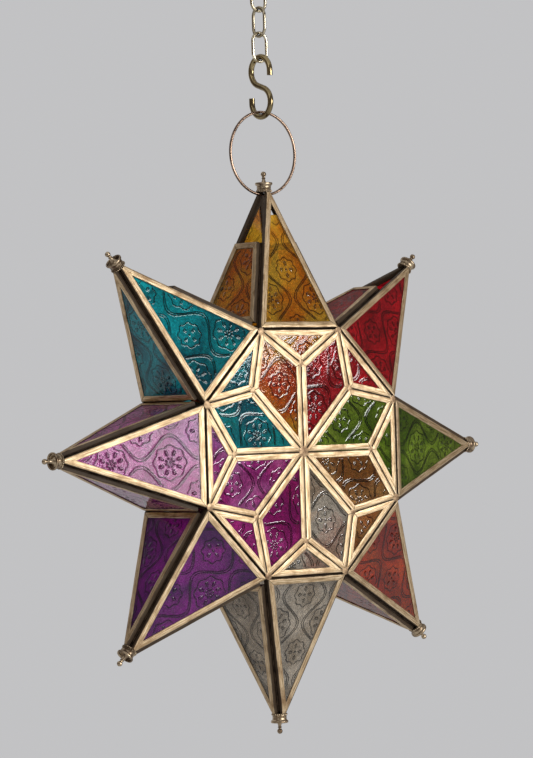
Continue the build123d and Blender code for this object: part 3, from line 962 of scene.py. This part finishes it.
seams = []
for number, name in enumerate(point_colours):
    angle = number * turn
    tip = star_corner(point_reach, angle, 0)
    for side, beyond in (("after", half_turn), ("before", -half_turn)):
        share = (cap_seat - apothem) / point_length
        if (name, side) in vents:
            share = vent_pane_share
        for forward in (half_depth, -half_depth):
            corner = star_corner(corner_radius, angle + beyond, forward)
            away = (corner - star_corner(apothem, angle, 0)).normalized()
            seams.append(seam(corner, corner.lerp(tip, share), away))
    for forward in (half_depth, -half_depth):
        first, second = (star_corner(corner_radius, angle + b, forward) for b in (-half_turn, half_turn))
        away = (first.lerp(second, 0.5) - star_centre).normalized()
        seams.append(seam(first, second, away, octagon_share))
    valley = [star_corner(corner_radius, angle + half_turn, f) for f in (half_depth, -half_depth)]
    away = (valley[0].lerp(valley[1], 0.5) - star_centre).normalized()
    seams.append(seam(valley[0], valley[1], away, valley_share))
# Near-black solder: painted shade for the grooves that the seams fill
seam_shade_metal = metal_material(
    "blackened_solder", dark=(0.012, 0.008, 0.006), bright=(0.09, 0.06, 0.04), smooth=0.45, rough=0.8,
    cloud_scale=140,
)
solder_seams = bent_wire("solder_seams", seams, seam_radius, seam_shade_metal, sides=10)
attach(solder_seams, "lantern")

# ---------------------------------------------------------------- caps on the points
# Each tip is closed by a spun cap: a collar of beads, a grooved band, a wide rim, and a flare that
# rises from the recess in its top to a bead and a ball.
ball_radius = 1.9 * mm
ball_centre = 12.6 * mm
ball_steps = 12
collar_beads = 22
bead_radius = 0.75 * mm
spun_steps = 48

# Radii and heights in millimetres, from the middle of the foot to the stem under the ball
cap_profile = [
    (0.0, 0.0), (4.9, 0.0), (5.0, 1.6), (5.1, 1.8), (4.8, 2.15), (5.05, 2.5), (4.8, 2.85),
    (5.05, 3.2), (4.9, 3.9), (5.1, 4.5), (5.7, 5.0), (6.05, 5.45), (6.1, 6.2), (5.95, 6.65),
    (5.6, 6.8), (5.3, 6.7), (5.05, 6.2), (4.85, 5.2), (4.3, 4.9), (3.2, 5.1), (2.4, 5.7),
    (1.75, 6.8), (1.3, 8.0), (1.0, 9.3), (1.35, 9.5), (1.5, 9.8), (1.35, 10.1), (1.0, 10.3),
]
cap_outline = [(radius * mm, height * mm) for radius, height in cap_profile]
ball_foot = math.asin(cap_outline[-1][0] / ball_radius)
for step in range(ball_steps + 1):
    up = ball_foot + (math.pi - ball_foot) * step / ball_steps
    cap_outline.append((ball_radius * math.sin(up), ball_centre - ball_radius * math.cos(up)))


def spun(outline):
    """A turned form: the outline, as radii and heights, spun round Z."""
    mesh = bmesh.new()
    corners = [mesh.verts.new((radius, 0, height)) for radius, height in outline]
    edges = [mesh.edges.new(pair) for pair in zip(corners, corners[1:])]
    bmesh.ops.spin(
        mesh, geom=corners + edges, axis=(0, 0, 1), cent=(0, 0, 0), angle=math.tau, steps=spun_steps
    )
    bmesh.ops.remove_doubles(mesh, verts=mesh.verts, dist=0.002 * mm)
    bmesh.ops.recalc_face_normals(mesh, faces=mesh.faces)
    return mesh


def beaded_tree():
    """Sets a ring of beads round the foot of a turned form."""
    inputs = {
        "Turned": ("Geometry", None),
        "Beads": ("Int", collar_beads),
        "Bead": ("Float", bead_radius),
        "Collar": ("Float", cap_collar_radius - bead_radius),
        "Brass": ("Material", None),
    }
    tree, given, result = node_group("beaded_collar", inputs, "Cap")
    collar = {"Vertices": given["Beads"], "Radius": given["Collar"]}
    ring = add_node(tree, "GeometryNodeMeshCircle", collar).outputs["Mesh"]
    ball = {"Segments": 14, "Rings": 9, "Radius": given["Bead"]}
    bead = add_node(tree, "GeometryNodeMeshUVSphere", ball).outputs["Mesh"]
    beads = add_node(tree, "GeometryNodeInstanceOnPoints", {"Points": ring, "Instance": bead})
    lift = add_node(tree, "ShaderNodeCombineXYZ", {"Z": given["Bead"]}).outputs["Vector"]
    move = {"Geometry": beads.outputs["Instances"], "Translation": lift}
    lifted = add_node(tree, "GeometryNodeTransform", move).outputs["Geometry"]
    both = add_node(tree, "GeometryNodeJoinGeometry", {"Geometry": lifted})
    set_up(tree, both, {"Geometry": given["Turned"]})
    tree.links.new(coated(tree, both.outputs["Geometry"], given["Brass"]), result["Cap"])
    return tree


cap_brass = metal_material(
    "cap_brass", dark=(0.14, 0.09, 0.055), bright=(0.62, 0.49, 0.33), smooth=0.2, rough=0.45,
    cloud_scale=150,
)
beading = beaded_tree()
for number, name in enumerate(point_colours):
    cap = baked(linked(spun(cap_outline), "turned_cap"), f"{name}_cap", beading, Brass=cap_brass)
    along_point = star_corner(1, number * turn, 0) - star_corner(0, number * turn, 0)
    seated = along_point.to_track_quat("Z", "Y").to_matrix().to_4x4()
    cap.data.transform(Matrix.Translation(star_corner(cap_seat, number * turn, 0)) @ seated)
    smoothed(cap, sharp_angle=50)
    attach(cap, "lantern")
    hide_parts(f"{name}_finial")

# ---------------------------------------------------------------- hanging ring
# A ring of thin brass wire goes through the vents under the top cap. Its ends are butted and
# soldered, which leaves a slight swelling, here at the bottom.
ring_steps = 96
ring_weld_reach = 1.5 * mm
weld_swelling = 0.1


def swollen(distance, reach):
    """Share of the wire's radius near a weld: a little thicker within its reach."""
    return 1 + weld_swelling * math.exp(-((distance / reach) ** 2))


ring_low, ring_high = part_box("hanging_ring")
ring_wire = (ring_high.y - ring_low.y) / 2
ring_radius = (ring_high.z - ring_low.z) / 2 - ring_wire
ring_middle = (ring_low + ring_high) / 2
ring_points, ring_thickness = [], []
for step in range(ring_steps):
    angle = math.tau * step / ring_steps - math.pi / 2
    ring_points.append(ring_middle + Vector((math.cos(angle), 0, math.sin(angle))) * ring_radius)
    from_weld = min(step, ring_steps - step) / ring_steps * math.tau * ring_radius
    ring_thickness.append(swollen(from_weld, ring_weld_reach))
ring_brass = metal_material(
    "ring_brass", dark=(0.13, 0.085, 0.06), bright=(0.36, 0.25, 0.18), smooth=0.1, rough=0.3, cloud_scale=24
)
ring = bent_wire("hanging_ring_wire", [(ring_points, ring_thickness, True)], ring_wire, ring_brass)
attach(ring, "hanging_ring")
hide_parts("hanging_ring")

# ---------------------------------------------------------------- S-hook
# A rod bent cold into two loops that stand square to the ring, with its ends cut off and rounded.
hook_bend = 10.2 * mm
hook_tail = 3.5 * mm
tail_steps, loop_steps = 4, 36
end_rounding = 1.1 * mm
end_taper = 0.35  # share of the radius that the rounding takes off the very end
hook_low, hook_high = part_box("s_hook")
hook_wire = (hook_high.x - hook_low.x) / 2
hook_middle = (hook_low + hook_high) / 2
loop_rise = (hook_high.z - hook_low.z) / 2 - hook_wire - hook_bend
straight_turn = math.acos(hook_bend / loop_rise)
loop_turn = math.radians(270) - straight_turn

upper_half = []
for step in range(tail_steps):
    rise = loop_rise - hook_tail * (1 - step / tail_steps)
    upper_half.append(Vector((0, -hook_bend, rise)))
for step in range(loop_steps + 1):
    angle = loop_turn * step / loop_steps
    rise = loop_rise + hook_bend * math.sin(angle)
    upper_half.append(Vector((0, -hook_bend * math.cos(angle), rise)))
hook_path = upper_half + [-point for point in reversed(upper_half)]
hook_points = [hook_middle + point for point in hook_path]
hook_runs = [0.0]
for here, there in zip(hook_points, hook_points[1:]):
    hook_runs.append(hook_runs[-1] + (there - here).length)
hook_thickness = []
for run in hook_runs:
    from_end = min(run, hook_runs[-1] - run)
    hook_thickness.append(1 - end_taper * max(0, 1 - from_end / end_rounding) ** 2)
hook_brass = metal_material(
    "hook_brass", dark=(0.14, 0.10, 0.05), bright=(0.42, 0.33, 0.17), smooth=0.08, rough=0.3, cloud_scale=26
)
hook = bent_wire("s_hook_rod", [(hook_points, hook_thickness, False)], hook_wire, hook_brass)
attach(hook, "s_hook")
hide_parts("s_hook")

# ---------------------------------------------------------------- chain
# Oval links of round wire, each square to the next and closed by a butt weld on one side.
link_count = 5
link_weld_reach = 1.4 * mm
bend_steps, straight_steps = 24, 8
chain_brass = metal_material(
    "chain_brass", dark=(0.26, 0.20, 0.11), bright=(0.82, 0.74, 0.56), smooth=0.08, rough=0.3,
    cloud_scale=30,
)
for number in range(1, link_count + 1):
    link_low, link_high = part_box(f"chain_link_{number}")
    link_size = link_high - link_low
    across = Vector((1, 0, 0)) if link_size.x > link_size.y else Vector((0, 1, 0))
    link_wire = min(link_size.x, link_size.y) / 2
    bend_radius = max(link_size.x, link_size.y) / 2 - link_wire
    straight = link_size.z / 2 - link_wire - bend_radius
    link_middle = (link_low + link_high) / 2
    link_points = []
    for end in (1, -1):
        for step in range(bend_steps + 1):
            angle = math.pi * step / bend_steps
            reach = across * math.cos(angle) * bend_radius
            rise = straight + math.sin(angle) * bend_radius
            link_points.append(link_middle + (reach + Vector((0, 0, rise))) * end)
    weld = link_middle + across * bend_radius * (1 if number % 3 else -1)
    halves = link_points[: bend_steps + 1], link_points[bend_steps + 1 :]
    link_points = []
    for half, other in (halves, halves[::-1]):
        between = [half[-1].lerp(other[0], step / straight_steps) for step in range(1, straight_steps)]
        link_points += half + between
    link_thickness = [swollen((point - weld).length, link_weld_reach) for point in link_points]
    run = (link_points, link_thickness, True)
    link = bent_wire(f"chain_link_{number}_wire", [run], link_wire, chain_brass)
    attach(link, f"chain_link_{number}")
    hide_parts(f"chain_link_{number}")

# ---------------------------------------------------------------- hinge and pull of the door
# The hinge is folded from sheet, with three knuckles round a headed pin. The pull is a soldered strip
# with a small turned knob.
sharp_edge = math.radians(50)
sheet_rounding = 0.12 * mm
pin_rounding = 0.15 * mm
fitting_brass = metal_material(
    "fitting_brass", dark=(0.20, 0.14, 0.08), bright=(0.66, 0.50, 0.31), smooth=0.25, rough=0.55,
    cloud_scale=150,
)


def softened(node, piece_name, body, edge_radius):
    """A copy of a solid with its edges rounded, in place of the node."""
    mesh = bmesh.new()
    mesh.from_mesh(bpy.data.objects[node].data)
    bmesh.ops.remove_doubles(mesh, verts=mesh.verts, dist=0.001 * mm)
    bmesh.ops.dissolve_limit(mesh, angle_limit=math.radians(1), verts=mesh.verts, edges=mesh.edges)
    sharp = []
    for edge in mesh.edges:
        if len(edge.link_faces) == 2 and edge.calc_face_angle() > sharp_edge:
            sharp.append(edge)
    bmesh.ops.bevel(
        mesh, geom=sharp, offset=edge_radius, segments=2, profile=0.5, affect="EDGES", clamp_overlap=True
    )
    piece = finished(mesh, piece_name, fitting_brass)
    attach(piece, body)
    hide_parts(node)


softened("frame_hinge_leaf", "frame_hinge_plate", "lantern", sheet_rounding)
softened("door_hinge_leaf", "door_hinge_plate", "door", sheet_rounding)
softened("door_hinge_pin", "door_hinge_rod", "lantern", pin_rounding)
softened("door_pull", "door_pull_knob", "door", sheet_rounding)

# ---------------------------------------------------------------- strap and cup
# A folded strap of sheet brass stands across the bottom of the body and carries a pressed cup with a
# rolled lip for the tealight.
strap_rounding = 0.2 * mm
softened("candle_strap", "candle_strap_sheet", "lantern", strap_rounding)
softened("candle_cup", "candle_cup_sheet", "lantern", sheet_rounding)

# ---------------------------------------------------------------- studio
# A pale floor well below the lantern fades into a pale surround, and large soft lamps light the
# front, so that the glass and the brass show broad reflections.
surround = (0.54, 0.54, 0.55)
floor_drop = 0.75
floor_radius = 9
fade_start, fade_end = 0.8, 3.0  # metres from the middle of the floor
world = bpy.data.worlds.new("surround")
world.use_nodes = True
tree = world.node_tree
set_up(tree, tree.nodes["Background"], {"Color": (*surround, 1), "Strength": 1.0})
scene.world = world
scene.view_settings.view_transform = "Standard"

bpy.ops.mesh.primitive_circle_add(vertices=96, radius=floor_radius, fill_type="NGON")
floor = bpy.context.object
floor.name = "studio_floor"
floor.data.transform(Matrix.Translation((0, 0, star_centre.z - point_reach - floor_drop)))
floor_paint, tree, paint = new_material("floor_paint")
set_up(tree, paint, {"Base Color": (0.62, 0.62, 0.62, 1), "Roughness": 0.9})
glow = add_node(tree, "ShaderNodeEmission", {"Color": (*surround, 1)}).outputs["Emission"]
place = add_node(tree, "ShaderNodeTexCoord").outputs["Object"]
flat = add_node(tree, "ShaderNodeMapping", {"Scale": (1, 1, 0), "Vector": place}).outputs["Vector"]
away = add_node(tree, "ShaderNodeVectorMath", {0: flat}, operation="LENGTH").outputs["Value"]
fade = ranged(tree, away, fade_start, fade_end, kind="SMOOTHSTEP")
blend = add_node(tree, "ShaderNodeMixShader", {"Fac": fade, 1: paint.outputs["BSDF"], 2: glow})
set_up(tree, tree.nodes["Material Output"], {"Surface": blend.outputs["Shader"]})
floor.data.materials.append(floor_paint)

# A dark curtain hangs round the lantern, with a gap behind its back. Only reflections show it, so
# that the glass keeps the depth of its colours and the brass its contrast.
curtain_radius = 4.5
curtain_height = 7.0
curtain_steps = 40
curtain_start, curtain_sweep = -250, 320
mesh = bmesh.new()
rails = []
for step in range(curtain_steps + 1):
    angle = math.radians(curtain_start + curtain_sweep * step / curtain_steps)
    rim = star_centre + Vector((math.cos(angle), math.sin(angle), 0)) * curtain_radius
    rise = Vector((0, 0, curtain_height / 2))
    rails.append((mesh.verts.new(rim - rise), mesh.verts.new(rim + rise)))
for here, there in zip(rails, rails[1:]):
    mesh.faces.new((here[0], here[1], there[1], there[0]))
curtain = linked(mesh, "dark_curtain")
cloth, tree, _ = new_material("dark_cloth")
glow = add_node(tree, "ShaderNodeEmission", {"Color": (0.16, 0.14, 0.13, 1)})
set_up(tree, tree.nodes["Material Output"], {"Surface": glow.outputs["Emission"]})
curtain.data.materials.append(cloth)
for ray in ("camera", "diffuse", "transmission", "shadow", "volume_scatter"):
    setattr(curtain, f"visible_{ray}", False)

# Each lamp: degrees it is turned to the right of the front and degrees it is raised, its distance,
# width and height in metres, and its power in watts
lamps = {
    "tall_window": (8.5, 5.0, 2.6, 0.95, 1.35, 26),
    "right_key": (32.2, 7.6, 2.72, 0.75, 0.50, 17),
    "left_fill": (-65.0, 33.0, 3.0, 1.2, 1.2, 5),
}
for name, (turned, lifted, away, width, height, power) in lamps.items():
    lamp = bpy.data.lights.new(name, "AREA")
    lamp.shape = "RECTANGLE"
    lamp.size, lamp.size_y = width, height
    lamp.energy = power
    direction = Vector((0, -away, 0))
    direction.rotate(Matrix.Rotation(math.radians(-lifted), 3, "X"))
    direction.rotate(Matrix.Rotation(math.radians(turned), 3, "Z"))
    holder = in_scene(name, lamp)
    holder.location = star_centre + direction
    holder.rotation_mode = "QUATERNION"
    holder.rotation_quaternion = direction.to_track_quat("Z", "Y")
    holder.visible_camera = False
